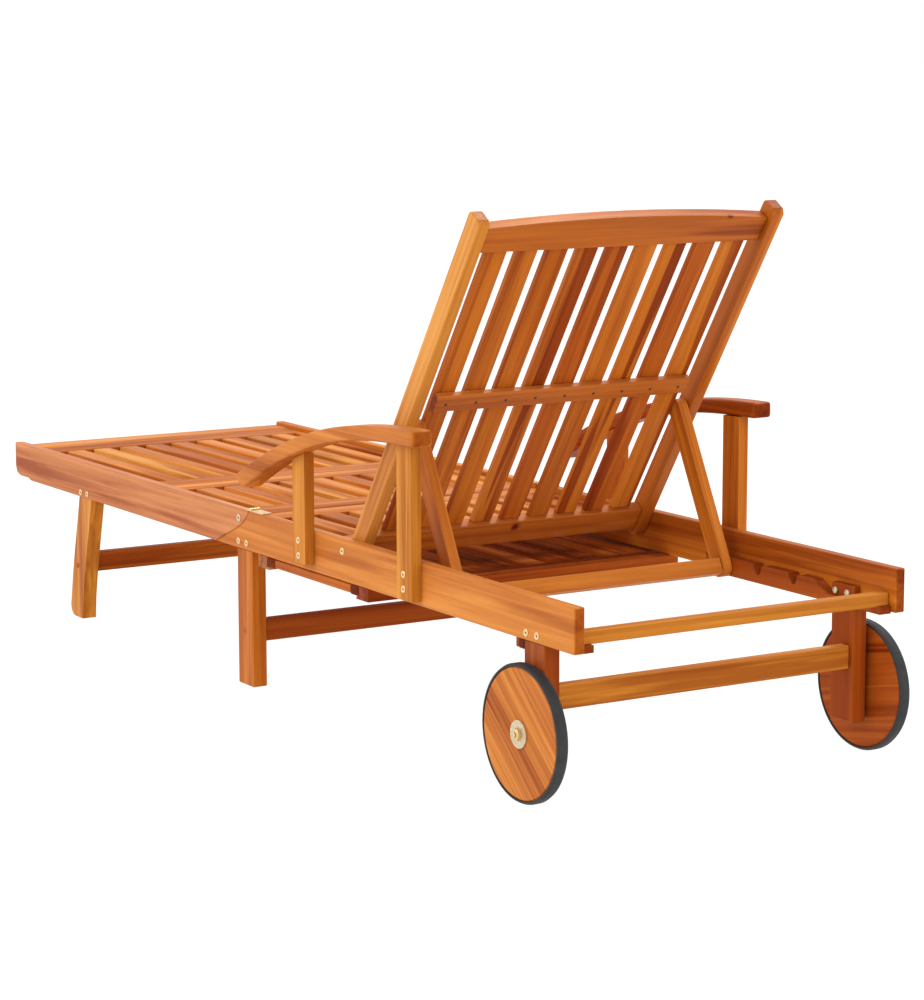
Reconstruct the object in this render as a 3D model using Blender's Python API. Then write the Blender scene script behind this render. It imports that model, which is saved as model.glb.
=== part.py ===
"""Slatted wooden sun lounger: reclining back, fold-up leg rest, sliding tray and two wheels.

X runs across the lounger with its left side at +X, Y runs from the foot end to the head end,
and Z runs up from the ground. The origin is on the ground under the middle. Sizes are in metres.
"""
from math import atan2, cos, hypot, pi, radians, sin

import bmesh
import bpy
from mathutils import Vector

SIDES = {"left": 1, "right": -1}

# Overall sizes
LENGTH = 2.000
WIDTH = 0.600
FOOT_END = -LENGTH / 2
HEAD_END = LENGTH / 2

# Clearances and edge rounding
GAP = 0.0003
RUNNING_GAP = 0.001
EASE = 0.0016

# Long side rails
RAIL_TOP = 0.305
RAIL_BOTTOM = 0.237
RAIL_THICK = 0.018
RAIL_OUT = WIDTH / 2
RAIL_IN = RAIL_OUT - RAIL_THICK
DECK_HALF = RAIL_IN - GAP

# Joint between the seat and the leg rest
FOLD_Y = 0.003
FOLD_Z = 0.3075
NOSE_END = -0.1215

# Legs
LEG_WIDE = 0.054
LEG_OUT = 0.296
LEG_IN = 0.269
TONGUE_TOP = 0.266
MID_LEG_Y = -0.022
REAR_LEG_Y = 0.8895
REAR_LEG_BOTTOM = 0.051
FRONT_LEG_Y = -0.6765
SEAM_BEND = ((-0.055, 0.268), (-0.020, 0.272))
RAIL_FOOT_LIFT = 0.004
BLOCK_LONG = 0.015
BLOCK_TALL = 0.016

FRONT_LEG_SWEEP = ((-0.700, 0.0), (-0.696, 0.075), (-0.664, 0.170))
TOE_ROUND = 0.020

# Crosswise stretchers between the legs, as (y, z) spans
MID_STRETCHER = ((-0.018, 0.002), (0.078, 0.116))
REAR_STRETCHER = ((0.889, 0.909), (0.136, 0.1725))
FRONT_STRETCHER = ((-0.714, -0.694), (0.090, 0.127))

# Deck of slats and crossbars
SLAT_COUNT = 9
SLAT_PITCH = 0.056
SLAT_WIDE = 0.036
DECK_TOP = 0.297
BAR_THICK = 0.020
SLAT_THICK = 0.014
SEAT_Y = (-0.0055, 0.304)
SEAT_BARS = (0.050, 0.045)
OUTER_Y = (-0.9497, -0.3703)
OUTER_BARS = (0.070, 0.060)
INNER_Y = (-0.3697, -0.0115)
INNER_BARS = (0.054, 0.066)
END_BAR = ((FOOT_END, -0.950), (0.262, 0.2985))
LEDGE = ((-0.400, -0.340), (0.257, 0.2767))

# Hinge leaves on the rail tops
LEAF_X = (0.279, 0.298)
LEAF_THICK = 0.0016
LEAF_CLEAR = 0.0025
SEAT_LEAF_END = 0.050
REST_LEAF_END = -0.012

# Wheels
WHEEL_RADIUS = 0.1035
WHEEL_THICK = 0.018
WHEEL_IN = 0.3035
TYRE_DEEP = 0.005
BORE_RADIUS = 0.0045
ROUND_STEPS = 64
WASHER_RADIUS = 0.021
WASHER_THICK = 0.002

# Backrest, laid out flat in its own frame: x across, y up the back, z towards the sitter
PIVOT_Y = 0.328
PIVOT_Z = 0.2857
BACK_ANGLE = radians(56.35)
STILE_IN = 0.2605
STILE_OUT = RAIL_IN - RUNNING_GAP
STILE_BACK = -0.0220
STILE_FRONT = 0.0125
STILE_TOP = 0.668
STILE_HEEL = -0.003
BACK_SLAT_PITCH = 0.055
BACK_SLAT_WIDE = 0.0375
BACK_SLAT_THICK = 0.011
BACK_SLAT_FRONT = 0.0045
BOTTOM_RAIL = ((-0.006, 0.040), (-0.0145, 0.0055))
TOP_RAIL_LOW = 0.604
TOP_RAIL_HIGH = 0.648
TOP_RAIL_BACK = -0.0125
TOP_RAIL_THICK = 0.020
TOP_RAIL_CROWN = 0.012
BATTEN_HALF = 0.2395
BATTEN = ((0.2985, 0.3305), (-0.0185, BACK_SLAT_FRONT - BACK_SLAT_THICK - GAP))

# Prop that holds the backrest up
PROP_UP_BACK = 0.258
PROP_BEHIND = -0.008
PROP_IN = 0.2405
PROP_OUT = 0.2585
PROP_WIDE = 0.030
PROP_FOOT_Y = 0.604
PROP_FOOT_Z = 0.249
PROP_BAR_WIDE = 0.026
PROP_BAR_THICK = 0.018

# Notched strips inside the rails
RACK_IN = 0.260
RACK_TOP = 0.264
RACK_BOTTOM = 0.235
RACK_START = 0.545
RACK_END = 0.990
RACK_TAIL_TOP = 0.246
RACK_TAIL_START = 0.858
RACK_TAIL_SLOPE = 0.036
NOTCHES = (0.597, 0.689, 0.781)
NOTCH_DEEP = 0.016
NOTCH_STEEP = 0.007
NOTCH_SLOPE = 0.012
CROSSBAR_Y = (0.965, 0.985)
CROSSBAR_TOP = 0.2665

# Tray under the seat
TRAY_TOP = 0.2355
TRAY_BOTTOM = 0.2200
TRAY_FRONT = 0.067
TRAY_REAR = 0.381
RUNNER_WIDE = 0.029
RUNNER_BOTTOM = 0.2155
RUNNER_LIP = 0.009
TRAY_BAR = 0.028

# Armrests, as cubic curves in (y, z)
ARM_TOP = ((0.025, 0.373), (0.205, 0.464), (0.365, 0.512), (0.615, 0.5145))
ARM_UNDER = ((0.054, 0.355), (0.224, 0.444), (0.365, 0.489), (0.615, 0.489))
ARM_TIP = ((0.038, 0.3505), (0.0235, 0.3575), (0.0195, 0.3665))
ARM_STEPS = 14
ARM_EASE = 0.003
ARM_IN = RAIL_OUT + 0.0005
ARM_OUT = 0.338
POST_OUT = 0.318
FRONT_POST = ((0.195, 0.236), 0.2505)
REAR_POST = ((0.533, 0.577), 0.2445)

WOOD = {
    "honey": (0.46, 0.19, 0.055),
    "amber": (0.40, 0.145, 0.035),
    "russet": (0.30, 0.085, 0.025),
    "rose": (0.44, 0.17, 0.075),
}


def clear_scene():
    for old in list(bpy.data.objects):
        bpy.data.objects.remove(old, do_unlink=True)


def material(name, colour, roughness, metallic=0.0):
    made = bpy.data.materials.get(name)
    if made is None:
        made = bpy.data.materials.new(name)
        made.use_nodes = True
        shader = made.node_tree.nodes["Principled BSDF"]
        shader.inputs["Base Color"].default_value = (*colour, 1.0)
        shader.inputs["Roughness"].default_value = roughness
        shader.inputs["Metallic"].default_value = metallic
    return made


def wood(tone):
    return material(f"acacia_{tone}", WOOD[tone], 0.5)


def brass():
    return material("yellow_zinc", (0.72, 0.50, 0.22), 0.32, 1.0)


def rubber():
    return material("tyre_rubber", (0.035, 0.034, 0.033), 0.75)


def pivot(name, location, tilt=0.0, parent=None):
    """An empty on a joint's axis; the pieces that turn or slide with it are parented to it."""
    empty = bpy.data.objects.new(name, None)
    empty.location = location
    empty.rotation_euler.x = tilt
    empty.parent = parent
    bpy.context.collection.objects.link(empty)
    return empty


def finish(name, form, skin, centre, bevel=0.0, smooth=False):
    """Turn a bmesh into a named object whose origin is at the given centre."""
    bmesh.ops.recalc_face_normals(form, faces=form.faces)
    mesh = bpy.data.meshes.new(name)
    form.to_mesh(mesh)
    form.free()
    if smooth:
        mesh.shade_smooth()
        mesh.set_sharp_from_angle(angle=radians(35))
    piece = bpy.data.objects.new(name, mesh)
    piece.location = centre
    mesh.materials.append(skin)
    bpy.context.collection.objects.link(piece)
    if bevel:
        rounding = piece.modifiers.new("eased_edges", "BEVEL")
        rounding.width = bevel
        rounding.segments = 1
        rounding.limit_method = "ANGLE"
        rounding.angle_limit = radians(40)
    return piece


def board(name, x, y, z, skin, bevel=EASE):
    """A straight board between the given limits in X, Y and Z."""
    centre = Vector(((x[0] + x[1]) / 2, (y[0] + y[1]) / 2, (z[0] + z[1]) / 2))
    size = Vector((abs(x[1] - x[0]), y[1] - y[0], z[1] - z[0]))
    form = bmesh.new()
    bmesh.ops.create_cube(form, size=1.0)
    bmesh.ops.scale(form, vec=size, verts=form.verts)
    return finish(name, form, skin, centre, bevel)


def extruded(name, outline, x, skin, bevel=EASE):
    """A piece with the same (y, z) outline all the way from x[0] to x[1]."""
    ys = [point[0] for point in outline]
    zs = [point[1] for point in outline]
    centre = Vector(((x[0] + x[1]) / 2, (min(ys) + max(ys)) / 2, (min(zs) + max(zs)) / 2))
    form = bmesh.new()
    corners = [form.verts.new(Vector((x[0], y, z)) - centre) for y, z in outline]
    side = form.faces.new(corners)
    grown = bmesh.ops.extrude_face_region(form, geom=[side])
    moved = [item for item in grown["geom"] if isinstance(item, bmesh.types.BMVert)]
    bmesh.ops.translate(form, vec=(x[1] - x[0], 0, 0), verts=moved)
    return finish(name, form, skin, centre, bevel)


def turned(name, profile, skin, centre):
    """A ring turned about the X axis from a closed (x, radius) profile."""
    form = bmesh.new()
    corners = [form.verts.new((x, 0, radius)) for x, radius in profile]
    edges = [form.edges.new((a, b)) for a, b in zip(corners, corners[1:] + corners[:1])]
    bmesh.ops.spin(form, geom=corners + edges, cent=(0, 0, 0), axis=(1, 0, 0),
                   angle=2 * pi, steps=ROUND_STEPS, use_merge=True)
    bmesh.ops.remove_doubles(form, verts=form.verts, dist=0.00001)
    return finish(name, form, skin, centre, smooth=True)


def slatted_panel(name, y, bars, skin, top=DECK_TOP, half=DECK_HALF,
                  slat_thick=SLAT_THICK, bar_thick=BAR_THICK):
    """Lengthwise slats between two crossbars, made as one flush ladder-like panel."""
    gap = SLAT_PITCH - SLAT_WIDE
    xs = [-half]
    for index in range(-SLAT_COUNT, SLAT_COUNT + 1, 2):
        middle = index * SLAT_PITCH / 2
        xs += [middle - gap / 2, middle + gap / 2]
    xs.append(half)
    ys = [y[0], y[0] + bars[0], y[1] - bars[1], y[1]]
    form = bmesh.new()
    grid = [[form.verts.new((x, row, 0)) for x in xs] for row in ys]
    bar_faces = []
    slat_faces = []
    for row in range(3):
        for column in range(len(xs) - 1):
            is_slot = row == 1 and column % 2 == 1
            if is_slot:
                continue
            face = form.faces.new((grid[row][column], grid[row][column + 1],
                                   grid[row + 1][column + 1], grid[row + 1][column]))
            (slat_faces if row == 1 else bar_faces).append(face)
    bmesh.ops.recalc_face_normals(form, faces=form.faces)
    underside = bmesh.ops.extrude_face_region(form, geom=slat_faces + bar_faces)
    lowered = [item for item in underside["geom"] if isinstance(item, bmesh.types.BMVert)]
    bmesh.ops.translate(form, vec=(0, 0, -slat_thick), verts=lowered)
    bar_bottoms = [item for item in underside["geom"] if isinstance(item, bmesh.types.BMFace)
                   and not y[0] + bars[0] < item.calc_center_median().y < y[1] - bars[1]]
    deeper = bmesh.ops.extrude_face_region(form, geom=bar_bottoms)
    lowered = [item for item in deeper["geom"] if isinstance(item, bmesh.types.BMVert)]
    bmesh.ops.translate(form, vec=(0, 0, slat_thick - bar_thick), verts=lowered)
    bmesh.ops.delete(form, geom=bar_bottoms, context="FACES_ONLY")
    centre = Vector((0, (y[0] + y[1]) / 2, top))
    bmesh.ops.translate(form, vec=(0, -centre.y, 0), verts=form.verts)
    return finish(name, form, skin, centre)


def bezier(points, steps):
    """Points along a cubic Bezier curve given by its four control points."""
    start, lead, tail, end = (Vector(point) for point in points)
    curve = []
    for step in range(steps + 1):
        t = step / steps
        s = 1 - t
        curve.append(s * s * s * start + 3 * s * s * t * lead + 3 * s * t * t * tail + t * t * t * end)
    return [(point.x, point.y) for point in curve]


def height_on(curve, y):
    """Height of an open (y, z) curve at y."""
    for (y0, z0), (y1, z1) in zip(curve, curve[1:]):
        if y0 <= y <= y1:
            return z0 + (z1 - z0) * (y - y0) / (y1 - y0)
    raise ValueError("y is outside the curve")


def arc(centre, radius, start, end, steps):
    """Points on an arc in the (y, z) plane, with angles in degrees from +Y towards +Z."""
    turn = [radians(start + (end - start) * step / steps) for step in range(steps + 1)]
    return [(centre[0] + radius * cos(angle), centre[1] + radius * sin(angle)) for angle in turn]


def hang(piece, support):
    """Parent a piece that was placed in world space to an unrotated empty."""
    piece.parent = support
    piece.location -= support.location
    return piece


def helper(piece):
    """Mark a shape that only cuts or extends another piece."""
    piece.hide_render = True
    piece.display_type = "WIRE"
    return piece


def combine(piece, other, operation):
    joint = piece.modifiers.new(other.name, "BOOLEAN")
    joint.operation = operation
    joint.solver = "EXACT"
    joint.object = other


# Where the seat's rails run under the ends of the leg rest's rails, seen from the side.
def seam(offset):
    """The seam line from the rail's underside up to its top, shifted along Y by the offset."""
    line = bezier(((NOSE_END, RAIL_BOTTOM), *SEAM_BEND, (FOLD_Y, RAIL_TOP)), 7)
    return [(y + offset, z) for y, z in line]


def make_side_rails(leg_rest):
    for side, sign in SIDES.items():
        x = (sign * RAIL_IN, sign * RAIL_OUT)
        main = seam(RUNNING_GAP / 2) + [(HEAD_END, RAIL_TOP), (HEAD_END, RAIL_BOTTOM)]
        extruded(f"main_rail_{side}", main, x, wood("honey"))
        foot = [
            (FOOT_END, RAIL_TOP),
            (FOOT_END, RAIL_BOTTOM + 0.020),
            (FOOT_END + 0.006, RAIL_BOTTOM + 0.008),
            (FOOT_END + 0.020, RAIL_BOTTOM + RAIL_FOOT_LIFT),
            (FOOT_END + 0.060, RAIL_BOTTOM + RAIL_FOOT_LIFT),
            (FOOT_END + 0.072, RAIL_BOTTOM),
        ]
        hang(extruded(f"leg_rest_rail_{side}", foot + seam(-RUNNING_GAP / 2), x, wood("rose")), leg_rest)


def straight_leg(name, sign, y, bottom, skin):
    """A leg with a shoulder under the rail and a tongue up behind it."""
    front = y - LEG_WIDE / 2
    rear = y + LEG_WIDE / 2
    tongue_out = RAIL_IN - GAP
    shoulder = RAIL_BOTTOM - GAP
    outline = [(LEG_IN, bottom), (LEG_OUT, bottom), (LEG_OUT, shoulder), (tongue_out, shoulder),
               (tongue_out, TONGUE_TOP), (LEG_IN, TONGUE_TOP)]
    form = bmesh.new()
    centre = Vector((sign * LEG_IN, y, 0))
    face = form.faces.new([form.verts.new(Vector((sign * x, front, z)) - centre) for x, z in outline])
    grown = bmesh.ops.extrude_face_region(form, geom=[face])
    moved = [item for item in grown["geom"] if isinstance(item, bmesh.types.BMVert)]
    bmesh.ops.translate(form, vec=(0, rear - front, 0), verts=moved)
    return finish(name, form, skin, centre, EASE)


def make_fixed_legs():
    for side, sign in SIDES.items():
        straight_leg(f"mid_leg_{side}", sign, MID_LEG_Y, 0.0, wood("amber"))
        straight_leg(f"rear_leg_{side}", sign, REAR_LEG_Y, REAR_LEG_BOTTOM, wood("russet"))
        block_rear = REAR_LEG_Y - LEG_WIDE / 2 - GAP
        board(f"leg_block_{side}", (sign * RAIL_IN, sign * LEG_OUT), (block_rear - BLOCK_LONG, block_rear),
              (RAIL_BOTTOM - BLOCK_TALL, RAIL_BOTTOM - GAP), wood("russet"))
    span = (-LEG_IN + GAP, LEG_IN - GAP)
    board("mid_stretcher", span, *MID_STRETCHER, wood("amber"))
    board("rear_stretcher", span, *REAR_STRETCHER, wood("amber"))


def make_front_legs(leg_rest):
    """The leg rest's legs sweep forward as they go down."""
    top_y = FRONT_LEG_Y + LEG_WIDE / 2
    top_z = RAIL_BOTTOM - GAP
    back = bezier((*FRONT_LEG_SWEEP, (top_y, top_z)), 6)
    front = [(y - LEG_WIDE, z) for y, z in reversed(back)]
    toe = arc((front[-1][0] + TOE_ROUND, TOE_ROUND), TOE_ROUND, 180, 270, 4)
    lower = [(y, z) for y, z in front if z > TOE_ROUND + 0.005] + toe
    for side, sign in SIDES.items():
        x = (sign * LEG_IN, sign * LEG_OUT)
        leg = hang(extruded(f"front_leg_{side}", back + lower, x, wood("rose"), 0), leg_rest)
        tongue = helper(board(f"tongue_{side}", (sign * LEG_IN, sign * (RAIL_IN - GAP)),
                              (top_y - LEG_WIDE, top_y), (top_z - 0.010, TONGUE_TOP), wood("rose"), 0))
        combine(leg, tongue, "UNION")
    span = (-LEG_IN + GAP, LEG_IN - GAP)
    hang(board("front_stretcher", span, *FRONT_STRETCHER, wood("amber")), leg_rest)


def make_decks(leg_rest):
    across = (-DECK_HALF, DECK_HALF)
    slatted_panel("seat_panel", SEAT_Y, SEAT_BARS, wood("amber"))
    hang(slatted_panel("leg_rest_panel_outer", OUTER_Y, OUTER_BARS, wood("honey")), leg_rest)
    hang(slatted_panel("leg_rest_panel_inner", INNER_Y, INNER_BARS, wood("honey")), leg_rest)
    hang(board("foot_end_bar", across, *END_BAR, wood("rose")), leg_rest)
    hang(board("leg_rest_mid_ledge", across, *LEDGE, wood("amber")), leg_rest)


def make_fold_hinges(leg_rest):
    """Two brass leaves a side on the rail tops, with the fold's axis between them."""
    low = RAIL_TOP + GAP
    z = (low, low + LEAF_THICK)
    for side, sign in SIDES.items():
        x = (sign * LEAF_X[0], sign * LEAF_X[1])
        board(f"hinge_leaf_seat_{side}", x, (FOLD_Y + LEAF_CLEAR, SEAT_LEAF_END), z, brass(), 0)
        hang(board(f"hinge_leaf_leg_rest_{side}", x, (REST_LEAF_END, FOLD_Y - LEAF_CLEAR), z, brass(), 0),
             leg_rest)


def make_rear_crossbar():
    board("rear_crossbar", (-DECK_HALF, DECK_HALF), CROSSBAR_Y,
          (RACK_TAIL_TOP + GAP, CROSSBAR_TOP), wood("amber"))


def make_racks():
    """Notched strips that the prop's feet drop into; the last notch is the flat position."""
    outline = [(RACK_START, RACK_BOTTOM), (RACK_END, RACK_BOTTOM), (RACK_END, RACK_TAIL_TOP),
               (RACK_TAIL_START, RACK_TAIL_TOP), (RACK_TAIL_START - RACK_TAIL_SLOPE, RACK_TOP)]
    for y in reversed(NOTCHES):
        outline.append((y + NOTCH_STEEP, RACK_TOP))
        outline.append((y, RACK_TOP - NOTCH_DEEP))
        outline.append((y - NOTCH_STEEP, RACK_TOP - NOTCH_DEEP))
        outline.append((y - NOTCH_STEEP - NOTCH_SLOPE, RACK_TOP))
    outline.append((RACK_START, RACK_TOP))
    for side, sign in SIDES.items():
        strip = extruded(f"rack_strip_{side}", outline, (sign * RACK_IN, sign * DECK_HALF), wood("russet"), 0)
        half_leg = LEG_WIDE / 2 + GAP
        housing = helper(board(f"leg_housing_{side}", (sign * (LEG_IN - GAP), sign * RAIL_OUT),
                               (REAR_LEG_Y - half_leg, REAR_LEG_Y + half_leg), (0.200, 0.300),
                               wood("russet"), 0))
        combine(strip, housing, "DIFFERENCE")


def make_arms():
    """Swept armrests on two posts each side."""
    under = bezier(ARM_UNDER, ARM_STEPS)
    outline = under[::-1] + list(ARM_TIP) + bezier(ARM_TOP, ARM_STEPS)
    for side, sign in SIDES.items():
        extruded(f"arm_{side}", outline, (sign * ARM_IN, sign * ARM_OUT), wood("honey"), ARM_EASE)
        for name, (y, foot) in (("front", FRONT_POST), ("rear", REAR_POST)):
            post = [(y[0], foot), (y[1], foot), (y[1], height_on(under, y[1]) - GAP),
                    (y[0], height_on(under, y[0]) - GAP)]
            extruded(f"arm_post_{name}_{side}", post, (sign * (RAIL_OUT + GAP), sign * POST_OUT), wood("honey"), 0)


def make_tray(tray):
    thick = TRAY_TOP - TRAY_BOTTOM
    hang(slatted_panel("tray_panel", (TRAY_FRONT, TRAY_REAR), (TRAY_BAR, TRAY_BAR), wood("russet"),
                       TRAY_TOP, RAIL_OUT - GAP, thick - 0.002, thick), tray)


def make_tray_runners():
    """Crosswise runners under the rails, each with a lip that carries the tray's edge."""
    high = RAIL_BOTTOM - GAP
    lip_top = TRAY_BOTTOM - GAP
    for name, edge, away in (("front", TRAY_FRONT, -1), ("rear", TRAY_REAR, 1)):
        near = edge + away * RUNNING_GAP
        far = near + away * RUNNER_WIDE
        lip = near - away * RUNNER_LIP
        outline = [(far, RUNNER_BOTTOM), (far, high), (near, high), (near, lip_top),
                   (lip, lip_top), (lip, RUNNER_BOTTOM)]
        extruded(f"tray_runner_{name}", outline, (-RAIL_OUT, RAIL_OUT), wood("russet"), 0)


def make_wheels():
    mid = WHEEL_IN + WHEEL_THICK / 2
    half = WHEEL_THICK / 2
    round_off = 0.002
    disc_radius = WHEEL_RADIUS - TYRE_DEEP - GAP
    for side, sign in SIDES.items():
        axle = pivot(f"wheel_axle_{side}", (sign * mid, REAR_LEG_Y, WHEEL_RADIUS))
        disc = [(-half, BORE_RADIUS), (half, BORE_RADIUS), (half, disc_radius - round_off),
                (half - round_off, disc_radius), (round_off - half, disc_radius),
                (-half, disc_radius - round_off)]
        hang(turned(f"wheel_disc_{side}", disc, wood("rose"), axle.location.copy()), axle)
        inner = disc_radius + GAP
        shoulder = half - 0.004
        wall = inner + 0.003
        tyre = [(-half, inner), (half, inner), (half, wall), (shoulder, WHEEL_RADIUS),
                (-shoulder, WHEEL_RADIUS), (-half, wall)]
        hang(turned(f"wheel_tyre_{side}", tyre, rubber(), axle.location.copy()), axle)
        thin = WASHER_THICK / 2
        washer = [(-thin, BORE_RADIUS), (thin, BORE_RADIUS), (thin, WASHER_RADIUS), (-thin, WASHER_RADIUS)]
        spot = axle.location + Vector((sign * (half + GAP + thin), 0, 0))
        hang(turned(f"wheel_washer_{side}", washer, brass(), spot), axle)


def make_backrest():
    """The backrest is laid out flat in the frame of its pivot, which is tilted to the top position."""
    frame = pivot("backrest_pivot", (0, PIVOT_Y, PIVOT_Z), BACK_ANGLE)
    middle = (STILE_BACK + STILE_FRONT) / 2
    half = (STILE_FRONT - STILE_BACK) / 2
    front_ease = 0.005
    back_ease = 0.007
    stile = arc((STILE_HEEL, middle), half, 270, 90, 8)
    stile += [(STILE_TOP - front_ease, STILE_FRONT), (STILE_TOP, STILE_FRONT - front_ease),
              (STILE_TOP, STILE_BACK + back_ease), (STILE_TOP - back_ease, STILE_BACK)]
    for side, sign in SIDES.items():
        piece = extruded(f"back_stile_{side}", stile, (sign * STILE_IN, sign * STILE_OUT), wood("honey"))
        piece.parent = frame
    span = STILE_IN - GAP
    low = board("back_bottom_rail", (-span, span), *BOTTOM_RAIL, wood("amber"))
    low.parent = frame
    make_top_rail(span).parent = frame
    for index in range(SLAT_COUNT):
        middle = (index - (SLAT_COUNT - 1) / 2) * BACK_SLAT_PITCH
        x = (middle - BACK_SLAT_WIDE / 2, middle + BACK_SLAT_WIDE / 2)
        slat = board(f"back_slat_{index + 1}", x, (BOTTOM_RAIL[0][1] + GAP, TOP_RAIL_LOW - GAP),
                     (BACK_SLAT_FRONT - BACK_SLAT_THICK, BACK_SLAT_FRONT), wood("amber"))
        slat.parent = frame
    batten = board("back_batten", (-BATTEN_HALF, BATTEN_HALF), *BATTEN, wood("amber"))
    batten.parent = frame
    return frame


def make_top_rail(span):
    """The top rail's upper edge is crowned."""
    steps = 12
    outline = [(span, TOP_RAIL_LOW), (-span, TOP_RAIL_LOW)]
    for step in range(steps + 1):
        x = -span + 2 * span * step / steps
        outline.append((x, TOP_RAIL_HIGH + TOP_RAIL_CROWN * (1 - (x / span) ** 2)))
    form = bmesh.new()
    centre = Vector((0, (TOP_RAIL_LOW + TOP_RAIL_HIGH) / 2, TOP_RAIL_BACK))
    face = form.faces.new([form.verts.new((x, y - centre.y, 0)) for x, y in outline])
    grown = bmesh.ops.extrude_face_region(form, geom=[face])
    moved = [item for item in grown["geom"] if isinstance(item, bmesh.types.BMVert)]
    bmesh.ops.translate(form, vec=(0, 0, TOP_RAIL_THICK), verts=moved)
    return finish("back_top_rail", form, wood("amber"), centre, EASE)


def make_prop(back_frame):
    """A U-shaped prop hung from the stiles, laid out along its own y from its pivot to its feet."""
    up = Vector((cos(BACK_ANGLE), sin(BACK_ANGLE)))
    out = Vector((-sin(BACK_ANGLE), cos(BACK_ANGLE)))
    top = Vector((PIVOT_Y, PIVOT_Z)) + PROP_UP_BACK * up + PROP_BEHIND * out
    lean = atan2(PROP_FOOT_Z - top.y, PROP_FOOT_Y - top.x)
    frame = pivot("prop_pivot", (0, PROP_UP_BACK, PROP_BEHIND), lean - BACK_ANGLE, back_frame)
    round_end = PROP_WIDE / 2
    length = hypot(PROP_FOOT_Y - top.x, PROP_FOOT_Z - top.y)
    leg = arc((0, 0), round_end, 270, 90, 8) + arc((length, 0), round_end, 90, -90, 8)
    for side, sign in SIDES.items():
        piece = extruded(f"prop_leg_{side}", leg, (sign * PROP_IN, sign * PROP_OUT), wood("honey"), 0)
        piece.parent = frame
    span = PROP_IN - GAP
    bar_end = length + 0.012
    bar = board("prop_crossbar", (-span, span), (bar_end - PROP_BAR_WIDE, bar_end),
                (-0.004, PROP_BAR_THICK - 0.004), wood("amber"))
    bar.parent = frame


def main():
    clear_scene()
    leg_rest = pivot("leg_rest_fold", (0, FOLD_Y, FOLD_Z))
    tray = pivot("tray_slide", (0, (TRAY_FRONT + TRAY_REAR) / 2, TRAY_BOTTOM))
    make_side_rails(leg_rest)
    make_fixed_legs()
    make_front_legs(leg_rest)
    make_decks(leg_rest)
    make_fold_hinges(leg_rest)
    make_rear_crossbar()
    make_racks()
    make_arms()
    make_tray(tray)
    make_tray_runners()
    make_wheels()
    make_prop(make_backrest())


main()
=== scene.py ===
"""Looks of the slatted wooden sun lounger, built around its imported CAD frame."""
from math import cos, pi, radians, sin

import bmesh
import bpy
from mathutils import Matrix, Quaternion, Vector


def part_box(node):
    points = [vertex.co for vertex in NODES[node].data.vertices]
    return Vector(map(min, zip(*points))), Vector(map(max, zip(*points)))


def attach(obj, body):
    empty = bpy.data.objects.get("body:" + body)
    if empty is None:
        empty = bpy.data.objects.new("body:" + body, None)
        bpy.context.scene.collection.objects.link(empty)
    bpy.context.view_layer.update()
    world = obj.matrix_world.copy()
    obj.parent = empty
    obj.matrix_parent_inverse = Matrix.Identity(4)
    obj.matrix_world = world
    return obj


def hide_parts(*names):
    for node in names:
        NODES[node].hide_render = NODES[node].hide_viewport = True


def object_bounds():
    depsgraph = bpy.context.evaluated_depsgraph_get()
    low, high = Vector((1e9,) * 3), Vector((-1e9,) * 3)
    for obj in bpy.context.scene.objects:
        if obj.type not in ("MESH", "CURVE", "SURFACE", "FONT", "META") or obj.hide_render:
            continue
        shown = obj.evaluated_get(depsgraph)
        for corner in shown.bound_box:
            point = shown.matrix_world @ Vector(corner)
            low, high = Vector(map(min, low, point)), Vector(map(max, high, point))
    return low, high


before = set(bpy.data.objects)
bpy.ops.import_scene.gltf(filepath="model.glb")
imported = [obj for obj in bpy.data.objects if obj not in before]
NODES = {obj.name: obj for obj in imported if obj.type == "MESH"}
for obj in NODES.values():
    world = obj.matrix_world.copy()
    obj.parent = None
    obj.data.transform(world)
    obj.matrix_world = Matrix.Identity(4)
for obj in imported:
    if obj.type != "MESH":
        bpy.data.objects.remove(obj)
cad_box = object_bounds()

SIDES = {"left": 1, "right": -1}

# Places taken from the CAD frame
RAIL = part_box("main_rail_left")
RAIL_OUT = RAIL[1].x
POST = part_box("arm_post_front_left")
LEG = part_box("mid_leg_left")
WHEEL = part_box("wheel_disc_left")
AXLE = (WHEEL[0] + WHEEL[1]) / 2
BACK_ANGLE = radians(56.35)
PIVOT = Vector((0, 0.328, 0.2857))
BACK_UP = Vector((0, cos(BACK_ANGLE), sin(BACK_ANGLE)))
BACK_OUT = Vector((0, -sin(BACK_ANGLE), cos(BACK_ANGLE)))
PROP_TOP = PIVOT + 0.258 * BACK_UP - 0.008 * BACK_OUT
BACK_SLAT_PITCH = 0.055
BATTEN_MIDDLE = 0.3135
BATTEN_BACK = 0.0186
PROP_FOOT = Vector((0, 0.604, 0.249))
FOLD = Vector((0, 0.003, 0.3075))

# Deck of slats, as in the frame's panels
SLAT_COUNT = 9
SLAT_PITCH = 0.056
SLAT_WIDE = 0.036
SLAT_GAP = SLAT_PITCH - SLAT_WIDE
SEAM = 0.0004
PLANK_EASE = 0.0022

# Wood tones: the colour of side faces, and a paler copy for faces that look up or outwards, which is painted
# light
TONES = {
    "gold": ((0.56, 0.200, 0.022), (0.66, 0.270, 0.050)),
    "honey": ((0.54, 0.155, 0.016), (0.60, 0.205, 0.040)),
    "amber": ((0.47, 0.120, 0.010), (0.54, 0.165, 0.030)),
    "rose": ((0.46, 0.115, 0.018), (0.62, 0.240, 0.090)),
    "russet": ((0.36, 0.070, 0.006), (0.42, 0.105, 0.020)),
    "umber": ((0.24, 0.045, 0.005), (0.29, 0.070, 0.015)),
    "straw": ((0.64, 0.290, 0.080), (0.74, 0.400, 0.150)),
}
HEARTWOOD = (0.52, 0.30, 0.22)
END_GRAIN = (0.60, 0.42, 0.34, 1.0)
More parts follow.
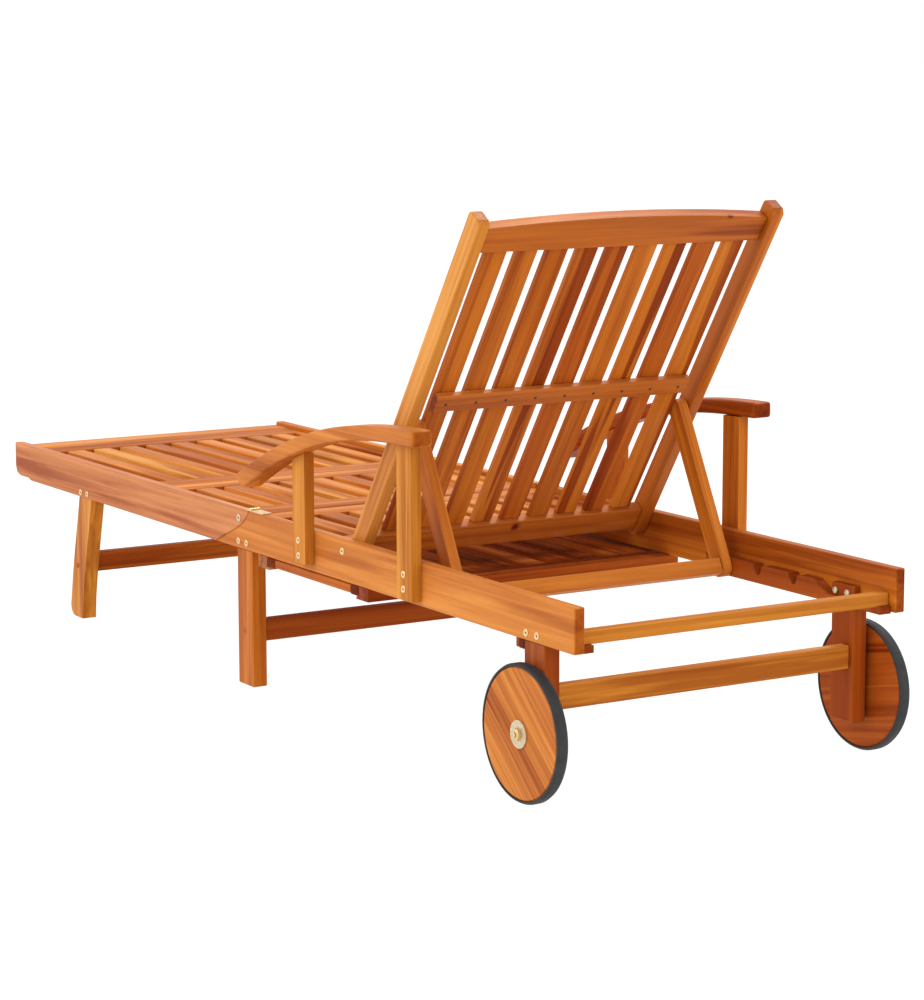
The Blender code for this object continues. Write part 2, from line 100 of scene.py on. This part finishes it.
# Specular level of boards in general, of the deck slats, and of the backrest's frame, which shines more
WOOD_GLOSS = 0.08
DECK_GLOSS = 0.03
OILED_GLOSS = 0.18
# How far the faces that look up or outwards take the paler tone, which is painted light, on boards in general
# and on the arm posts
BOARD_PAINTED_LIGHT = 0.9
POST_PAINTED_LIGHT = 0.3
# Tone and slant of the boards glued up for each wheel, as (lower edge, factor) pairs; on the right wheel the
# two narrow 1.22 strips at joints are painted highlights
WHEEL_BOARDS_AND_JOINT_HIGHLIGHTS = {
    "left": ("honey", 41, ((-0.1, 1.0), (-0.036, 0.99), (-0.033, 0.78), (-0.006, 1.0), (0.046, 0.96))),
    "right": ("russet", -12, ((-0.1, 1.02), (-0.056, 1.22), (-0.050, 0.98), (-0.006, 1.22), (-0.003, 0.95),
                              (0.040, 1.12))),
}
# Dark knots, as a place and a radius
KNOTS = ((-0.187, 0.702, 0.825, 0.007), (-0.010, 0.356, 0.302, 0.009))
GRAIN = {
    "y": (0, 0, 0),
    "x": (0, 0, pi / 2),
    "z": (pi / 2, 0, 0),
    "back": (-BACK_ANGLE, 0, 0),
}


# ---- materials ----

def add(tree, kind, links=(), **values):
    """Add a shader node, set its sockets or properties by name, and link (socket, source) pairs."""
    made = tree.nodes.new(kind)
    for key, value in values.items():
        if key in made.inputs:
            made.inputs[key].default_value = value
        else:
            setattr(made, key, value)
    for socket, source in links:
        tree.links.new(source, made.inputs[socket])
    return made


def maths(tree, operation, first, second, clamp=False):
    """A Math node whose two values are sockets or numbers."""
    made = tree.nodes.new("ShaderNodeMath")
    made.operation = operation
    made.use_clamp = clamp
    for index, value in enumerate((first, second)):
        if isinstance(value, (int, float)):
            made.inputs[index].default_value = value
        else:
            tree.links.new(value, made.inputs[index])
    return made.outputs[0]


def mix_colour(tree, factor, first, second, blend="MIX"):
    made = tree.nodes.new("ShaderNodeMix")
    made.data_type = "RGBA"
    made.blend_type = blend
    for name, value in (("Factor_Float", factor), ("A_Color", first), ("B_Color", second)):
        socket = next(item for item in made.inputs if item.identifier == name)
        if isinstance(value, (int, float, tuple)):
            socket.default_value = value
        else:
            tree.links.new(value, socket)
    return next(item for item in made.outputs if item.identifier == "Result_Color")


def ramp(tree, source, stops):
    """A colour ramp from (position, colour) stops."""
    made = tree.nodes.new("ShaderNodeValToRGB")
    bar = made.color_ramp
    while len(bar.elements) < len(stops):
        bar.elements.new(0.5)
    for element, (place, colour) in zip(bar.elements, stops):
        element.position = place
        element.color = (*colour, 1.0)
    tree.links.new(source, made.inputs[0])
    return made.outputs[0]


def toned(colour, factor):
    """A deeper or paler tone of a wood colour: deeper tones turn redder, paler ones yellower."""
    red, green, blue = colour
    return (red * factor, green * factor ** 1.7, blue * factor ** 1.9)


def shader_of(name):
    made = bpy.data.materials.new(name)
    made.use_nodes = True
    tree = made.node_tree
    return made, tree, tree.nodes["Principled BSDF"]


def stretched(tree, source, scale, offset):
    moved = add(tree, "ShaderNodeMapping", [("Vector", source)])
    moved.inputs["Scale"].default_value = scale
    moved.inputs["Location"].default_value = offset
    return moved.outputs[0]


def grain_pattern(tree, along, seed):
    """Tone drift, streaks, pores and heartwood bands in a frame whose Y runs along the grain."""
    shift = (seed * 1.37, seed * 0.71, seed * 2.13)
    broad = add(tree, "ShaderNodeTexNoise", [("Vector", stretched(tree, along, (16, 1.1, 16), shift))],
                Scale=1.0, Detail=3.0, Roughness=0.5, Distortion=0.5).outputs[0]
    streak = add(tree, "ShaderNodeTexNoise", [("Vector", stretched(tree, along, (85, 2.0, 85), shift))],
                 Scale=1.0, Detail=4.0, Roughness=0.55, Distortion=0.8).outputs[0]
    pores = add(tree, "ShaderNodeTexNoise", [("Vector", stretched(tree, along, (800, 24, 800), shift))],
                Scale=1.0, Detail=2.0, Roughness=0.6).outputs[0]
    heart = add(tree, "ShaderNodeTexNoise", [("Vector", stretched(tree, along, (30, 0.9, 30), shift))],
                Scale=1.0, Detail=1.5, Roughness=0.4, Distortion=0.3).outputs[0]
    return broad, streak, pores, heart


def painted_light_by_facing(tree, texture, strength):
    """Painted light: 1 on faces that look up or outwards from the lounger's middle, 0 on the others."""
    normal = add(tree, "ShaderNodeSeparateXYZ", [(0, texture.outputs["Normal"])])
    place = add(tree, "ShaderNodeSeparateXYZ", [(0, texture.outputs["Object"])])
    side = maths(tree, "MULTIPLY", place.outputs[0], 30.0)
    side = maths(tree, "MINIMUM", maths(tree, "MAXIMUM", side, -1.0), 1.0)
    outward = maths(tree, "MULTIPLY", normal.outputs[0], side)
    best = maths(tree, "MAXIMUM", outward, normal.outputs[2])
    return maths(tree, "MULTIPLY", maths(tree, "MAXIMUM", best, 0.0), strength, clamp=True)


def glued_boards_and_highlights(tree, along, boards):
    """Tone of boards glued edge to edge, with any painted highlights along their joints, from (lower edge,
    factor) pairs across the grain.
    """
    across = add(tree, "ShaderNodeSeparateXYZ", [(0, along)]).outputs[2]
    span = 0.2
    stops = [(edge / span + 0.5, toned((1.0, 1.0, 1.0), factor)) for edge, factor in boards]
    place = maths(tree, "ADD", maths(tree, "DIVIDE", across, span), 0.5)
    shades = ramp(tree, place, stops)
    shades.node.color_ramp.interpolation = "CONSTANT"
    return shades


def knot_shade(tree, place, knot):
    """A dark spot with a soft rim around a point given as (x, y, z, radius)."""
    ripple = add(tree, "ShaderNodeTexNoise", [("Vector", place)], Scale=120.0, Detail=2.0).outputs[0]
    reach = add(tree, "ShaderNodeVectorMath", [(0, place)], operation="DISTANCE")
    reach.inputs[1].default_value = knot[:3]
    ratio = maths(tree, "DIVIDE", reach.outputs["Value"], knot[3])
    ratio = maths(tree, "ADD", ratio, maths(tree, "MULTIPLY", ripple, 0.6))
    return ramp(tree, maths(tree, "MULTIPLY", ratio, 0.4),
                [(0.22, (0.16, 0.07, 0.05)), (0.36, (0.45, 0.25, 0.20)), (0.62, (1.0, 1.0, 1.0))])


def wood(name, tone, grain, seed=0, shade=1.0, contrast=1.0, turn=None, painted_light_share=BOARD_PAINTED_LIGHT, heart=0.35,
         boards=(), origin=(0, 0, 0), knot=(), gloss=WOOD_GLOSS):
    """Oiled acacia. grain names the direction of the fibres, or turn gives it as a rotation."""
    made, tree, shader = shader_of(name)
    deep, pale = (toned(colour, shade) for colour in TONES[tone])
    texture = add(tree, "ShaderNodeTexCoord")
    centred = add(tree, "ShaderNodeVectorMath", [(0, texture.outputs["Object"])], operation="SUBTRACT")
    centred.inputs[1].default_value = origin
    along = add(tree, "ShaderNodeMapping", [("Vector", centred.outputs[0])])
    along.inputs["Rotation"].default_value = turn or GRAIN[grain]
    broad, streak, pores, bands = grain_pattern(tree, along.outputs[0], seed)
    figure = maths(tree, "ADD", maths(tree, "MULTIPLY", broad, 0.6), maths(tree, "MULTIPLY", streak, 0.4))
    levels = ((0.37, 1 - 0.42 * contrast), (0.45, 1 - 0.14 * contrast), (0.52, 1.0),
              (0.62, 1 + 0.17 * contrast))
    # Painted light: faces that look up or outwards take the paler tone, the others the deeper one.
    tinted = mix_colour(tree, painted_light_by_facing(tree, texture, painted_light_share),
                        ramp(tree, figure, [(place, toned(deep, level)) for place, level in levels]),
                        ramp(tree, figure, [(place, toned(pale, level)) for place, level in levels]))
    heartwood = ramp(tree, bands, [(0.50, (1.0, 1.0, 1.0)), (0.535, HEARTWOOD)])
    tinted = mix_colour(tree, heart, tinted, heartwood, "MULTIPLY")
    # Glued board tones, with painted highlights at the joints where the table gives them
    if boards:
        tinted = mix_colour(tree, 1.0, tinted, glued_boards_and_highlights(tree, along.outputs[0], boards), "MULTIPLY")
    if knot:
        tinted = mix_colour(tree, 1.0, tinted, knot_shade(tree, texture.outputs["Object"], knot), "MULTIPLY")
    pore_shade = ramp(tree, pores, [(0.30, (0.70, 0.55, 0.45)), (0.42, (1.0, 1.0, 1.0))])
    coloured = mix_colour(tree, 0.35, tinted, pore_shade, "MULTIPLY")
    fibre = add(tree, "ShaderNodeMapping", [("Vector", texture.outputs["Normal"])])
    fibre.inputs["Rotation"].default_value = turn or GRAIN[grain]
    end = add(tree, "ShaderNodeSeparateXYZ", [(0, fibre.outputs[0])]).outputs[1]
    end = maths(tree, "ABSOLUTE", end, 0.0)
    end = maths(tree, "MULTIPLY", maths(tree, "SUBTRACT", end, 0.6), 2.2, clamp=True)
    final = mix_colour(tree, end, coloured, mix_colour(tree, 1.0, coloured, END_GRAIN, "MULTIPLY"))
    tree.links.new(final, shader.inputs["Base Color"])
    rough = add(tree, "ShaderNodeMapRange", [("Value", streak)])
    rough.inputs["To Min"].default_value = 0.52
    rough.inputs["To Max"].default_value = 0.34
    tree.links.new(rough.outputs[0], shader.inputs["Roughness"])
    shader.inputs["Specular IOR Level"].default_value = gloss
    shader.inputs["Specular Tint"].default_value = (1.0, 0.80, 0.58, 1.0)
    height = maths(tree, "ADD", streak, maths(tree, "MULTIPLY", pores, 0.6))
    bump = add(tree, "ShaderNodeBump", [("Height", height)], Strength=0.25, Distance=0.0005)
    tree.links.new(bump.outputs[0], shader.inputs["Normal"])
    return made


def plated(name, colour, dull, roughness):
    """Zinc-plated steel with dull patches."""
    made, tree, shader = shader_of(name)
    texture = add(tree, "ShaderNodeTexCoord")
    patch = add(tree, "ShaderNodeTexNoise", [("Vector", texture.outputs["Object"])],
                Scale=260.0, Detail=4.0, Roughness=0.6).outputs[0]
    tint = ramp(tree, patch, [(0.35, dull), (0.65, colour)])
    tree.links.new(tint, shader.inputs["Base Color"])
    gloss = add(tree, "ShaderNodeMapRange", [("Value", patch)])
    gloss.inputs["To Min"].default_value = roughness + 0.15
    gloss.inputs["To Max"].default_value = roughness - 0.08
    tree.links.new(gloss.outputs[0], shader.inputs["Roughness"])
    shader.inputs["Metallic"].default_value = 0.85
    return made


def rubber():
    """Dark grey tyre rubber, a little dusty, with a fine moulded grain."""
    made, tree, shader = shader_of("tyre_rubber_scene")
    texture = add(tree, "ShaderNodeTexCoord")
    dust = add(tree, "ShaderNodeTexNoise", [("Vector", texture.outputs["Object"])],
               Scale=38.0, Detail=5.0, Roughness=0.65).outputs[0]
    fine = add(tree, "ShaderNodeTexNoise", [("Vector", texture.outputs["Object"])],
               Scale=1400.0, Detail=2.0).outputs[0]
    tint = ramp(tree, dust, [(0.38, (0.010, 0.011, 0.013)), (0.70, (0.026, 0.026, 0.027))])
    tree.links.new(tint, shader.inputs["Base Color"])
    shader.inputs["Roughness"].default_value = 0.68
    bump = add(tree, "ShaderNodeBump", [("Height", fine)], Strength=0.25, Distance=0.0004)
    tree.links.new(bump.outputs[0], shader.inputs["Normal"])
    return made


BRASS = plated("yellow_zinc_scene", (0.90, 0.64, 0.34), (0.66, 0.43, 0.20), 0.34)
STEEL = plated("pale_zinc_scene", (0.74, 0.64, 0.44), (0.52, 0.44, 0.29), 0.42)
# Painted shade: a near-black metal that stands for the shade inside bolt sockets and screw recesses
SOCKET_SHADE_METAL = plated("bolt_socket_painted_shade", (0.10, 0.07, 0.05), (0.05, 0.035, 0.025), 0.5)
RUBBER = rubber()


def paint(node, skin):
    NODES[node].material_slots[0].material = skin


# ---- shapes ----

def emit(name, form, skin, body):
    """Make a bmesh that is drawn in world space into a piece that rides on a body."""
    bmesh.ops.recalc_face_normals(form, faces=form.faces)
    mesh = bpy.data.meshes.new(name)
    form.to_mesh(mesh)
    form.free()
    mesh.shade_smooth()
    mesh.set_sharp_from_angle(angle=radians(32))
    piece = bpy.data.objects.new(name, mesh)
    mesh.materials.append(skin)
    bpy.context.scene.collection.objects.link(piece)
    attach(piece, body)
    return piece


def plank(name, low, high, skin, body):
    """A board with softly rounded edges between two corners."""
    form = bmesh.new()
    bmesh.ops.create_cube(form, size=1.0)
    bmesh.ops.scale(form, vec=high - low, verts=form.verts)
    bmesh.ops.translate(form, vec=(high + low) / 2, verts=form.verts)
    bmesh.ops.bevel(form, geom=form.edges[:], offset=PLANK_EASE, segments=3, profile=0.5, affect="EDGES")
    return emit(name, form, skin, body)


def lathe(name, profile, centre, skin, body, steps=32, hexagon=()):
    """Turn an (x, radius) profile about X; the listed points follow a hexagon instead of a circle."""
    form = bmesh.new()
    rings = []
    for index, (x, radius) in enumerate(profile):
        ring = []
        for step in range(steps):
            angle = 2 * pi * step / steps
            reach = radius / cos((angle % (pi / 3)) - pi / 6) if index in hexagon else radius
            ring.append(form.verts.new(centre + Vector((x, reach * cos(angle), reach * sin(angle)))))
        rings.append(ring)
    for first, second in zip(rings, rings[1:]):
        for step in range(steps):
            after = (step + 1) % steps
            form.faces.new((first[step], first[after], second[after], second[step]))
    form.faces.new(rings[0])
    form.faces.new(rings[-1])
    return emit(name, form, skin, body)


def bolt(name, spot, sign, body, radius=0.0060, skin=None):
    """A flat bolt head with a raised rim, pointing outwards along X; its hexagonal socket is a thin dark
    disc, painted shade for the hollow.
    """
    tall = 0.0012
    rim = [(0.0002, radius), (tall * 0.6, radius), (tall, radius * 0.88), (tall, radius * 0.70),
           (tall * 0.7, radius * 0.62), (tall * 0.7, radius * 0.24)]
    lathe(name, [(sign * x, reach) for x, reach in rim], spot, skin or BRASS, body)
    socket = [(tall * 0.7, radius * 0.28), (tall * 0.75, radius * 0.26)]
    lathe(f"{name}_socket", [(sign * x, reach) for x, reach in socket], spot, SOCKET_SHADE_METAL, body,
          steps=12, hexagon=(0, 1))


def on_curve(points, t):
    """The (y, z) point at t on a cubic Bezier."""
    start, lead, tail, end = (Vector(point) for point in points)
    s = 1 - t
    return s ** 3 * start + 3 * s * s * t * lead + 3 * s * t * t * tail + t ** 3 * end


# ---- pieces ----

def paint_frame():
    """Grain, tone and seed of every CAD board that stays."""
    boards = {
        "main_rail_left": ("honey", "y", 0.97), "main_rail_right": ("amber", "y", 1.12),
        "leg_rest_rail_left": ("rose", "y", 1.04), "leg_rest_rail_right": ("honey", "y", 1.0),
        "mid_leg_left": ("amber", "z", 1.0), "mid_leg_right": ("amber", "z", 0.9),
        "rear_leg_left": ("russet", "z", 0.80), "rear_leg_right": ("russet", "z", 0.84),
        # The leg blocks take the darkest tone, partly for their end grain and partly as painted shade, as
        # they sit in shadow under the rails.
        "leg_block_left": ("umber", "z", 0.8), "leg_block_right": ("umber", "z", 0.8),
        "front_leg_left": ("gold", "z", 0.98), "front_leg_right": ("amber", "z", 1.0),
        "mid_stretcher": ("russet", "x", 0.84), "front_stretcher": ("amber", "x", 1.0),
        "rear_stretcher": ("gold", "x", 1.10), "rear_crossbar": ("gold", "x", 0.90),
        "rack_strip_left": ("russet", "y", 0.96), "rack_strip_right": ("russet", "y", 0.96),
        "arm_post_front_left": ("gold", "z", 1.02), "arm_post_front_right": ("amber", "z", 1.0),
        "arm_post_rear_left": ("gold", "z", 1.16), "arm_post_rear_right": ("honey", "z", 1.14),
        "tray_runner_front": ("straw", "x", 0.95), "tray_runner_rear": ("russet", "x", 1.0),
        "leg_rest_mid_ledge": ("amber", "x", 0.9), "foot_end_bar": ("honey", "x", 1.05),
        "back_stile_left": ("gold", "back", 0.93), "back_stile_right": ("amber", "back", 1.0),
        "back_top_rail": ("amber", "x", 0.91), "back_bottom_rail": ("amber", "x", 1.0),
        "back_batten": ("honey", "x", 0.90), "prop_crossbar": ("honey", "x", 1.0),
    }
    knots = {"back_top_rail": KNOTS[0], "back_bottom_rail": KNOTS[1]}
    oiled = ("back_top_rail", "back_batten", "back_bottom_rail", "back_stile_left", "back_stile_right")
    for seed, (node, (tone, grain, shade)) in enumerate(boards.items()):
        knot = ()
        if node in knots:
            *spot, reach = knots[node]
            knot = (*(NODES[node].matrix_world.inverted() @ Vector(spot)), reach)
        gloss = OILED_GLOSS if node in oiled else WOOD_GLOSS
        # Share of painted light, the paler tone on faces that look up or outwards
        painted_light_share = POST_PAINTED_LIGHT if "post" in node else BOARD_PAINTED_LIGHT
        paint(node, wood(f"acacia_{node}", tone, grain, seed + 1, shade, painted_light_share=painted_light_share,
                         knot=knot, gloss=gloss))
    slats = (("amber", 0.90, 0.7), ("honey", 0.88, 0.3), ("amber", 0.86, 0.9), ("honey", 0.86, 1.0),
             ("russet", 1.06, 0.6), ("honey", 0.84, 0.2), ("amber", 0.90, 1.0), ("russet", 1.14, 0.8),
             ("honey", 0.90, 0.8))
    for index, (tone, shade, heart) in enumerate(slats):
        paint(f"back_slat_{9 - index}", wood(f"acacia_back_slat_{9 - index}", tone, "back", 60 + index * 3,
                                             shade, contrast=1.15, heart=heart))
    lean = (PROP_FOOT - PROP_TOP).normalized()
    turn = (-Vector((0, 1, 0)).angle(lean) * (1 if lean.z > 0 else -1), 0, 0)
    for seed, side in enumerate(SIDES):
        paint(f"prop_leg_{side}", wood(f"acacia_prop_leg_{side}", "amber", "y", 90 + seed, 1.10, turn=turn))
        paint(f"wheel_tyre_{side}", RUBBER)
        paint(f"wheel_washer_{side}", STEEL)
        paint(f"hinge_leaf_seat_{side}", BRASS)
        paint(f"hinge_leaf_leg_rest_{side}", BRASS)


def make_deck(panel, bars, body, tones, prefix, seed):
    """Separate slats and crossbars in place of one CAD panel."""
    low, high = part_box(panel)
    spans = []
    edge = low.x
    for index in range(-SLAT_COUNT, SLAT_COUNT + 1, 2):
        middle = index * SLAT_PITCH / 2
        spans.append((edge, middle - SLAT_GAP / 2))
        edge = middle + SLAT_GAP / 2
    spans.append((edge, high.x))
    thick = 0.014 if high.z - low.z > 0.015 else high.z - low.z - 0.002
    for number, (x0, x1) in enumerate(spans, 1):
        tone, shade = tones[(number * 5 + seed) % len(tones)]
        skin = wood(f"acacia_{prefix}_slat_{number}", tone, "y", seed + number * 2, shade, heart=0.5,
                    gloss=DECK_GLOSS)
        slat = plank(f"{prefix}_slat_{number}", Vector((x0, low.y + bars[0] + SEAM, high.z - thick)),
                     Vector((x1, high.y - bars[1] - SEAM, high.z - 0.0002)), skin, body)
        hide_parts(panel)
    for place, y0, y1 in (("foot", low.y, low.y + bars[0]), ("head", high.y - bars[1], high.y)):
        tone, shade = tones[(seed + len(place) * 3) % len(tones)]
        skin = wood(f"acacia_{prefix}_bar_{place}", tone, "x", seed + 50, shade, gloss=DECK_GLOSS)
        bar = plank(f"{prefix}_bar_{place}", Vector((low.x, y0, low.z)), Vector((high.x, y1, high.z)),
                    skin, body)
        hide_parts(panel)


def make_decks():
    warm = (("honey", 1.0), ("gold", 0.93), ("honey", 1.03), ("amber", 1.0), ("honey", 0.93), ("amber", 1.06))
    make_deck("leg_rest_panel_outer", (0.070, 0.060), "leg_rest", warm, "leg_rest_outer", 100)
    make_deck("leg_rest_panel_inner", (0.054, 0.066), "leg_rest", warm, "leg_rest_inner", 140)
    make_deck("seat_panel", (0.050, 0.045), "frame", warm, "seat", 180)
    dim = (("russet", 0.9), ("umber", 0.9), ("russet", 1.0))
    make_deck("tray_panel", (0.028, 0.028), "tray", dim, "tray", 220)


def make_arms():
    """Swept armrests with eased edges, in place of the CAD arms."""
    top = ((0.025, 0.373), (0.205, 0.464), (0.365, 0.512), (0.615, 0.5145))
    under = ((0.054, 0.355), (0.224, 0.444), (0.365, 0.489), (0.615, 0.489))
    steps = 40
    round_off = 0.008
    for side, sign in SIDES.items():
        low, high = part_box(f"arm_{side}")
        middle = (low.x + high.x) / 2
        half = (high.x - low.x) / 2
        form = bmesh.new()
        rings = [arm_ring(form, middle, half - 0.003, on_curve(top, 0), on_curve(under, 0), 0.003)]
        rings += [arm_ring(form, middle, half, on_curve(top, t), on_curve(under, t))
                  for t in (0.98 * (step + 0.12) / (steps + 0.2) for step in range(steps + 1))]
        for angle in (radians(22.5 * step) for step in range(5)):
            shift = Vector((round_off * (sin(angle) - 1), 0))
            narrow = round_off * (1 - cos(angle))
            rings.append(arm_ring(form, middle, half - narrow, on_curve(top, 1) + shift,
                                  on_curve(under, 1) + shift, narrow * 0.35))
        for first, second in zip(rings, rings[1:]):
            for step, corner in enumerate(first):
                after = (step + 1) % len(first)
                form.faces.new((corner, first[after], second[after], second[step]))
        form.faces.new(rings[0])
        form.faces.new(rings[-1])
        tone = ("honey", 1.0) if sign > 0 else ("russet", 1.02)
        skin = wood(f"acacia_armrest_{side}", tone[0], "y", 300 + sign, tone[1])
        arm = emit(f"armrest_{side}", form, skin, "frame")
        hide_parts(f"arm_{side}")


def arm_ring(form, middle, reach, upper, lower, inset=0.0):
    """A rounded rectangle across the arm between its upper and lower (y, z) points."""
    corner = 0.0045
    up = (upper - lower).normalized()
    lower = lower + inset * up
    tall = (upper - lower).length - inset
    ring = []
    for side_x, side_z, start in ((1, 1, 0), (-1, 1, 90), (-1, -1, 180), (1, -1, 270)):
        for step in range(4):
            angle = radians(start + 30 * step)
            across = side_x * (reach - corner) + corner * cos(angle)
            height = tall / 2 + side_z * (tall / 2 - corner) + corner * sin(angle)
            point = lower + up * height
            ring.append(form.verts.new((middle + across, point.x, point.y)))
    return ring


def make_wheels():
    """Glued-up discs with a slanted grain, with axles, axle nuts and axle ends."""
    for side, sign in SIDES.items():
        body = f"wheel_{side}"
        centre = Vector((sign * AXLE.x, AXLE.y, AXLE.z))
        tone, lean, boards = WHEEL_BOARDS_AND_JOINT_HIGHLIGHTS[side]
        skin = wood(f"acacia_wheel_{side}", tone, "y", 330 + sign, contrast=1.35, turn=(radians(lean), 0, 0),
                    boards=boards, origin=centre)
        paint(f"wheel_disc_{side}", skin)
        face = abs(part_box(f"wheel_washer_{side}")[1 if sign > 0 else 0].x)
        spot = Vector((sign * (face + 0.0002), centre.y, centre.z))
        nut = [(0.0, 0.0085), (0.0045, 0.0085), (0.0055, 0.0070), (0.0055, 0.0042), (0.0040, 0.0040)]
        lathe(f"wheel_nut_{side}", [(sign * x, r) for x, r in nut], spot, BRASS, body,
              steps=36, hexagon=(0, 1))
        pin = [(0.0, 0.0034), (0.0072, 0.0034), (0.0080, 0.0026)]
        lathe(f"axle_end_{side}", [(sign * x, r) for x, r in pin], spot, STEEL, body)
        inside = Vector((sign * (WHEEL[0].x - 0.0004), centre.y, centre.z))
        shaft = [(0.0, 0.0042), (-0.0072, 0.0042)]
        lathe(f"axle_{side}", [(sign * x, r) for x, r in shaft], inside, STEEL, "frame")


def make_bolts():
    """Bolt heads on the rails and posts, with nuts on the inner side of the legs."""
    legs = (("front", -0.674, 0.246, "leg_rest"), ("mid", -0.021, 0.249, "frame"),
            ("rear", 0.888, 0.248, "frame"))
    for side, sign in SIDES.items():
        for name, y, z, body in legs:
            for number, offset in enumerate((-0.0145, 0.0145), 1):
                spot = Vector((sign * RAIL_OUT, y + offset, z))
                bolt(f"bolt_{name}_leg_{number}_{side}", spot, sign, body)
                nut = [(0.0002, 0.0052), (0.0032, 0.0052), (0.0040, 0.0038)]
                lathe(f"nut_{name}_leg_{number}_{side}", [(-sign * x, r) for x, r in nut],
                      Vector((sign * LEG[0].x, y + offset, 0.254)), STEEL, body, hexagon=(0, 1))
        for name, z_pair in (("front", (0.288, 0.263)), ("rear", (0.285, 0.262))):
            low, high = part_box(f"arm_post_{name}_{side}")
            for number, z in enumerate(z_pair, 1):
                spot = Vector((sign * POST[1].x, (low.y + high.y) / 2 - 0.002, z))
                bolt(f"bolt_{name}_post_{number}_{side}", spot, sign, "frame")
        bolt(f"bolt_back_pivot_{side}", Vector((sign * RAIL_OUT, PIVOT.y, PIVOT.z)), sign, "frame", 0.0062)
        bolt(f"bolt_leg_rest_end_{side}", Vector((sign * RAIL_OUT, -0.034, 0.2890)), sign, "leg_rest", 0.0066,
             STEEL)
        plug(f"plug_mid_leg_{side}", Vector((sign * LEG[1].x, -0.024, 0.095)), sign, "frame")
        plug(f"plug_front_leg_{side}", Vector((sign * LEG[1].x, -0.718, 0.101)), sign, "leg_rest")
        head = Vector((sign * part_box(f"prop_leg_{side}")[0 if sign > 0 else 1].x, PROP_TOP.y, PROP_TOP.z))
        bolt(f"bolt_prop_{side}", head, -sign, "prop", 0.0055)


def plug(name, spot, sign, body):
    """A wooden plug over a stretcher's bolt."""
    skin = wood(f"acacia_{name}", "gold", "x", 400 + sign, 0.86)
    profile = [(sign * 0.0001, 0.0052), (sign * 0.0006, 0.0052), (sign * 0.0009, 0.0044)]
    lathe(name, profile, spot, skin, body)


def make_batten_screws():
    """A countersunk screw through the batten into each slat, drawn dark as painted shade for its recess."""
    for number in range(SLAT_COUNT):
        x = (number - (SLAT_COUNT - 1) / 2) * BACK_SLAT_PITCH
        spot = PIVOT + BATTEN_MIDDLE * BACK_UP - BATTEN_BACK * BACK_OUT + Vector((x, 0, 0))
        form = bmesh.new()
        bmesh.ops.create_cone(form, cap_ends=True, segments=20, radius1=0.0026, radius2=0.0022, depth=0.0008)
        aim = Vector((0, 0, 1)).rotation_difference(-BACK_OUT).to_matrix().to_4x4()
        form.transform(Matrix.Translation(spot) @ aim)
        emit(f"batten_screw_{number + 1}", form, SOCKET_SHADE_METAL, "backrest")


def make_hinges():
    """Knuckles and screws of the brass hinges on the rail tops."""
    for side, sign in SIDES.items():
        low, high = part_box(f"hinge_leaf_seat_{side}")
        length = high.x - low.x
        third = length / 3
        for number in range(3):
            start = low.x + number * third + 0.0003
            body = "leg_rest" if number == 1 else "frame"
            profile = [(0.0, 0.0026), (0.0004, 0.0030), (third - 0.001, 0.0030), (third - 0.0006, 0.0026)]
            lathe(f"hinge_knuckle_{number + 1}_{side}", profile, Vector((start, FOLD.y, FOLD.z)), BRASS,
                  body, steps=20)
        for number, y in enumerate((0.018, 0.040), 1):
            form = bmesh.new()
            bmesh.ops.create_cone(form, cap_ends=True, segments=20, radius1=0.0034, radius2=0.0026,
                                  depth=0.0008)
            form.transform(Matrix.Translation(((low.x + high.x) / 2, y, high.z + 0.0003)))
            emit(f"hinge_screw_seat_{number}_{side}", form, STEEL, "frame")


# ---- stage ----

def make_stage():
    form = bmesh.new()
    bmesh.ops.create_grid(form, x_segments=1, y_segments=1, size=60.0)
    mesh = bpy.data.meshes.new("floor")
    form.to_mesh(mesh)
    form.free()
    floor = bpy.data.objects.new("floor", mesh)
    floor.location.z = cad_box[0].z - 0.0005
    skin, tree, shader = shader_of("floor_white")
    shader.inputs["Base Color"].default_value = (0.15, 0.15, 0.15, 1.0)
    shader.inputs["Emission Color"].default_value = (1.0, 1.0, 1.0, 1.0)
    shader.inputs["Emission Strength"].default_value = 0.95
    shader.inputs["Roughness"].default_value = 0.9
    shader.inputs["Specular IOR Level"].default_value = 0.0
    mesh.materials.append(skin)
    bpy.context.scene.collection.objects.link(floor)
    world = bpy.data.worlds.new("studio")
    bpy.context.scene.world = world
    world.use_nodes = True
    world.node_tree.nodes["Background"].inputs["Color"].default_value = (1.0, 1.0, 1.0, 1.0)
    world.node_tree.nodes["Background"].inputs["Strength"].default_value = 1.0


def area_light(name, place, aim, size, power):
    light = bpy.data.lights.new(name, "AREA")
    light.shape = "DISK"
    light.size = size
    light.energy = power
    lamp = bpy.data.objects.new(name, light)
    lamp.location = place
    lamp.rotation_euler = (Vector(aim) - Vector(place)).to_track_quat("-Z", "Y").to_euler()
    bpy.context.scene.collection.objects.link(lamp)


def make_camera():
    eye = Vector((2.5673, 4.4135, 1.1131))
    aim = Vector((0.0476, 0.2825, 0.3412))
    roll = -0.0014
    data = bpy.data.cameras.new("camera")
    data.lens = 106.65
    data.sensor_width = 36.0
    camera = bpy.data.objects.new("camera", data)
    camera.location = eye
    level = (aim - eye).to_track_quat("-Z", "Y")
    camera.rotation_euler = (level @ Quaternion((0, 0, 1), roll)).to_euler()
    bpy.context.scene.collection.objects.link(camera)
    bpy.context.scene.camera = camera


make_camera()
make_stage()
area_light("key", (4.2, -0.6, 2.6), aim=(0, 0, 0.3), size=3.0, power=70)
area_light("top", (-2.2, -0.4, 4.6), aim=(0, 0.3, 0.3), size=1.6, power=90)
area_light("fill", (-1.0, 5.5, 2.0), aim=(0, 0.4, 0.3), size=4.0, power=45)
bpy.context.scene.view_settings.view_transform = "Standard"
paint_frame()
make_decks()
make_arms()
make_wheels()
make_bolts()
make_batten_screws()
make_hinges()
